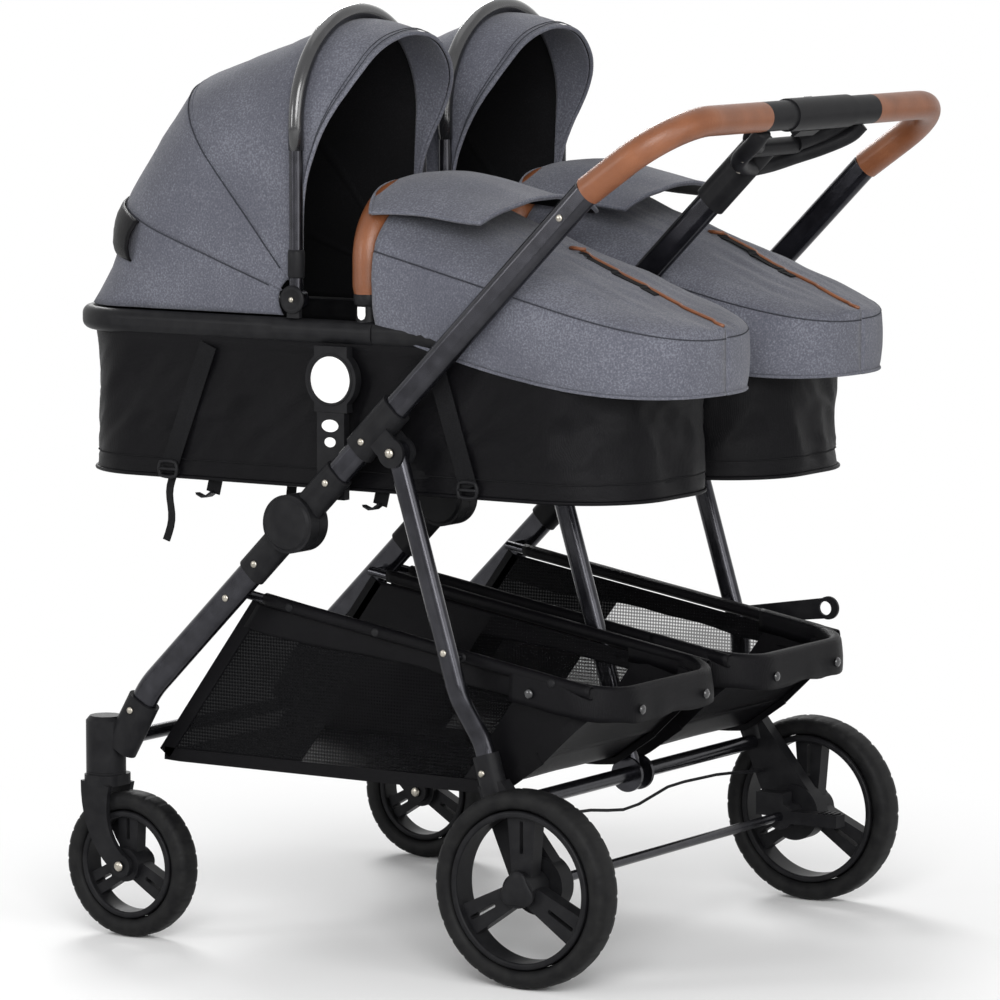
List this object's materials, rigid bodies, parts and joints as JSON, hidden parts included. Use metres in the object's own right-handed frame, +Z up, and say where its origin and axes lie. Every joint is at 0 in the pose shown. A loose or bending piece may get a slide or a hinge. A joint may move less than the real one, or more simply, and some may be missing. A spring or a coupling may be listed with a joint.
{
  "type": "twin pram",
  "caption": "Side-by-side twin pram with folding chassis, swivel front wheels, carrycots with turning canopies and foot aprons, leather-covered handle and mesh baskets.",
  "frame": {"origin": "on the floor under the middle of the pram's bounding box", "axes": "+X to the pusher's right, +Y forward to the front wheels, +Z up"},
  "size_m": [0.732, 0.9494, 1.1615],
  "materials": {
    "dark_metal": "satin gunmetal",
    "black_plastic": "satin black",
    "leather": "smooth tan",
    "grey_fabric": "slate-grey weave",
    "black_fabric": "black weave",
    "tyre": "matte black"
  },
  "bodies": {
    "front_frame": {"front_leg_left": "dark_metal", "front_leg_middle": "dark_metal", "front_leg_right": "dark_metal", "front_crossbar": "dark_metal", "caster_housings": "black_plastic", "fold_hinge_lower": "black_plastic"},
    "upper_frame": {"upper_rail_left": "dark_metal", "upper_rail_middle": "dark_metal", "upper_rail_right": "dark_metal", "fold_hinge_upper": "black_plastic", "leg_brackets": "black_plastic", "handlebar": "dark_metal", "grips": "leather", "handle_module": "black_plastic", "adaptor_posts": "black_plastic"},
    "rear_frame": {"rear_leg_left": "dark_metal", "rear_leg_middle": "dark_metal", "rear_leg_right": "dark_metal", "rear_crossbar": "dark_metal", "rear_axle": "dark_metal", "hub_housings": "black_plastic", "brake_cable": "black_plastic"},
    "basket_unit": {"basket_frames": "dark_metal", "basket_left": "black_fabric", "basket_right": "black_fabric"},
    "brake_pedal": {"brake_pedal": "black_plastic"},
    "transport_latch": {"fold_lever": "black_plastic"},
    "fold_trigger": {"fold_trigger": "black_plastic"},
    "safety_slider": {"safety_slider": "black_plastic"},
    "caster_left": {"fork_left": "black_plastic"},
    "front_wheel_left": {"front_tyre_left": "tyre", "front_rim_left": "black_plastic"},
    "rear_wheel_left": {"rear_tyre_left": "tyre", "rear_rim_left": "black_plastic"},
    "cot_left": {"cot_rim_left": "black_plastic", "cot_tub_left": "black_fabric", "cot_mattress_left": "black_fabric", "cot_apron_left": "grey_fabric", "cot_fittings_left": "black_plastic", "bumper_bar_left": "leather", "canopy_rear_left": "grey_fabric"},
    "canopy_left": {"canopy_bow_left": "black_plastic", "canopy_front_left": "grey_fabric"},
    "canopy_mid_left": {"canopy_middle_left": "grey_fabric"},
    "caster_right": {"fork_right": "black_plastic"},
    "front_wheel_right": {"front_tyre_right": "tyre", "front_rim_right": "black_plastic"},
    "rear_wheel_right": {"rear_tyre_right": "tyre", "rear_rim_right": "black_plastic"},
    "cot_right": {"cot_rim_right": "black_plastic", "cot_tub_right": "black_fabric", "cot_mattress_right": "black_fabric", "cot_apron_right": "grey_fabric", "cot_fittings_right": "black_plastic", "bumper_bar_right": "leather", "canopy_rear_right": "grey_fabric"},
    "canopy_right": {"canopy_bow_right": "black_plastic", "canopy_front_right": "grey_fabric"},
    "canopy_mid_right": {"canopy_middle_right": "grey_fabric"}
  },
  "joints": [
    {"name": "fold", "type": "hinge", "parent": "front_frame", "child": "upper_frame", "pos_m": [0, 0.08, 0.536], "axis": [-1, 0, 0], "range_deg": [0, 30]},
    {"name": "rear_leg_fold", "type": "hinge", "parent": "upper_frame", "child": "rear_frame", "pos_m": [0, -0.06849, 0.63075], "axis": [-1, 0, 0], "range_deg": [-13.2, 0]},
    {"name": "basket_fold", "type": "hinge", "parent": "front_frame", "child": "basket_unit", "pos_m": [0, 0.17429, 0.43771], "axis": [-1, 0, 0], "range_deg": [0, 17]},
    {"name": "brake_press", "type": "hinge", "parent": "rear_frame", "child": "brake_pedal", "pos_m": [0.269, -0.26, 0.12], "axis": [1, 0, 0], "range_deg": [0, 18]},
    {"name": "latch_turn", "type": "hinge", "parent": "rear_frame", "child": "transport_latch", "pos_m": [0.3462, -0.15035, 0.36299], "axis": [-1, 0, 0], "range_deg": [0, 60]},
    {"name": "trigger_press", "type": "slide", "parent": "upper_frame", "child": "fold_trigger", "axis": [0, -0.8192, 0.5736], "range_m": [0, 0.004], "stiffness_N_per_m": 300, "springref_m": -0.001},
    {"name": "slider_shift", "type": "slide", "parent": "upper_frame", "child": "safety_slider", "axis": [1, 0, 0], "range_m": [0, 0.013]},
    {"name": "caster_swivel_left", "type": "hinge", "parent": "front_frame", "child": "caster_left", "pos_m": [-0.334, 0.37, 0.206], "axis": [0, 0, 1], "continuous": true},
    {"name": "front_wheel_spin_left", "type": "hinge", "parent": "caster_left", "child": "front_wheel_left", "pos_m": [-0.334, 0.33, 0.092], "axis": [1, 0, 0], "continuous": true},
    {"name": "rear_wheel_spin_left", "type": "hinge", "parent": "rear_frame", "child": "rear_wheel_left", "pos_m": [-0.345, -0.26, 0.12], "axis": [1, 0, 0], "continuous": true},
    {"name": "cot_lift_left", "type": "slide", "parent": "upper_frame", "child": "cot_left", "axis": [0, 0, 1], "range_m": [0, 0.1]},
    {"name": "canopy_fold_left", "type": "hinge", "parent": "cot_left", "child": "canopy_left", "pos_m": [-0.165, 0.1, 0.806], "axis": [-1, 0, 0], "range_deg": [0, 44]},
    {"name": "canopy_mid_fold_left", "type": "hinge", "parent": "cot_left", "child": "canopy_mid_left", "pos_m": [-0.165, 0.1, 0.806], "axis": [-1, 0, 0], "range_deg": [0, 18]},
    {"name": "caster_swivel_right", "type": "hinge", "parent": "front_frame", "child": "caster_right", "pos_m": [0.334, 0.37, 0.206], "axis": [0, 0, 1], "continuous": true},
    {"name": "front_wheel_spin_right", "type": "hinge", "parent": "caster_right", "child": "front_wheel_right", "pos_m": [0.334, 0.33, 0.092], "axis": [1, 0, 0], "continuous": true},
    {"name": "rear_wheel_spin_right", "type": "hinge", "parent": "rear_frame", "child": "rear_wheel_right", "pos_m": [0.345, -0.26, 0.12], "axis": [1, 0, 0], "continuous": true},
    {"name": "cot_lift_right", "type": "slide", "parent": "upper_frame", "child": "cot_right", "axis": [0, 0, 1], "range_m": [0, 0.1]},
    {"name": "canopy_fold_right", "type": "hinge", "parent": "cot_right", "child": "canopy_right", "pos_m": [0.165, 0.1, 0.806], "axis": [-1, 0, 0], "range_deg": [0, 44]},
    {"name": "canopy_mid_fold_right", "type": "hinge", "parent": "cot_right", "child": "canopy_mid_right", "pos_m": [0.165, 0.1, 0.806], "axis": [-1, 0, 0], "range_deg": [0, 18]}
  ],
  "couplings": [
    {"joint": "rear_leg_fold", "follows": "fold", "ratio": -0.4307},
    {"joint": "basket_fold", "follows": "fold", "ratio": 0.555},
    {"joint": "canopy_mid_fold_left", "follows": "canopy_fold_left", "ratio": 0.4},
    {"joint": "canopy_mid_fold_right", "follows": "canopy_fold_right", "ratio": 0.4}
  ]
}
